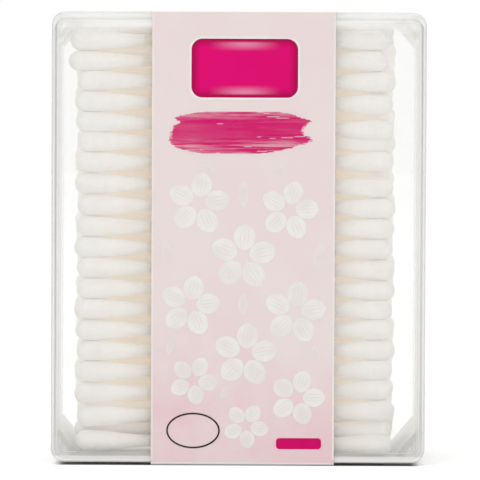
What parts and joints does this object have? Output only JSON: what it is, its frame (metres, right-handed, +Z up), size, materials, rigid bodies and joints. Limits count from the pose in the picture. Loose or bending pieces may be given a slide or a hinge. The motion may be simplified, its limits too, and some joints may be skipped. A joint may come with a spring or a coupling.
{
  "type": "cotton swab box",
  "caption": "Clear rectangular box standing on its short side, packed with cotton swabs, with a printed pink paper band that slides off sideways.",
  "frame": {"origin": "bottom centre of the box, on the floor it stands on", "axes": "+Z up along the tall side, +X along the swabs, front (lid) towards -Y"},
  "size_m": [0.088, 0.0486, 0.1072],
  "materials": {
    "clear_plastic": "clear gloss",
    "pink_paper": "smooth coated paper",
    "cream_paper": "smooth coated paper",
    "deep_pink_ink": "gloss print",
    "brush_pink_ink": "satin print",
    "white_ink": "satin print",
    "pale_ink": "satin print",
    "black_ink": "satin print",
    "cotton": "soft wound cotton",
    "stick_paper": "rolled paper"
  },
  "bodies": {
    "case": {"tray": "clear_plastic", "lid": "clear_plastic", "sticks_01_02": "stick_paper", "sticks_03_04": "stick_paper", "sticks_05_06": "stick_paper", "sticks_07_08": "stick_paper", "sticks_09_10": "stick_paper", "left_heads_01_lower": "cotton", "left_heads_01_upper": "cotton", "left_heads_02_lower": "cotton", "left_heads_02_upper": "cotton", "left_heads_03_lower": "cotton", "left_heads_03_upper": "cotton", "left_heads_04_lower": "cotton", "left_heads_04_upper": "cotton", "left_heads_05_lower": "cotton", "left_heads_05_upper": "cotton", "left_heads_06_lower": "cotton", "left_heads_06_upper": "cotton", "left_heads_07_lower": "cotton", "left_heads_07_upper": "cotton", "left_heads_08_lower": "cotton", "left_heads_08_upper": "cotton", "left_heads_09_lower": "cotton", "left_heads_09_upper": "cotton", "left_heads_10_lower": "cotton", "left_heads_10_upper": "cotton", "right_heads_01_lower": "cotton", "right_heads_01_upper": "cotton", "right_heads_02_lower": "cotton", "right_heads_02_upper": "cotton", "right_heads_03_lower": "cotton", "right_heads_03_upper": "cotton", "right_heads_04_lower": "cotton", "right_heads_04_upper": "cotton", "right_heads_05_lower": "cotton", "right_heads_05_upper": "cotton", "right_heads_06_lower": "cotton", "right_heads_06_upper": "cotton", "right_heads_07_lower": "cotton", "right_heads_07_upper": "cotton", "right_heads_08_lower": "cotton", "right_heads_08_upper": "cotton", "right_heads_09_lower": "cotton", "right_heads_09_upper": "cotton", "right_heads_10_lower": "cotton", "right_heads_10_upper": "cotton"},
    "sleeve": {"band": "pink_paper", "print_plaque": "deep_pink_ink", "print_plaque_rim": "white_ink", "print_stroke": "brush_pink_ink", "print_blossoms": "white_ink", "print_leaves": "pale_ink", "print_oval": "black_ink", "print_tag": "deep_pink_ink", "print_edge_lines": "cream_paper"}
  },
  "joints": [
    {"name": "band_slide", "type": "slide", "parent": "case", "child": "sleeve", "axis": [1, 0, 0], "range_m": [-0.067, 0.067]}
  ]
}
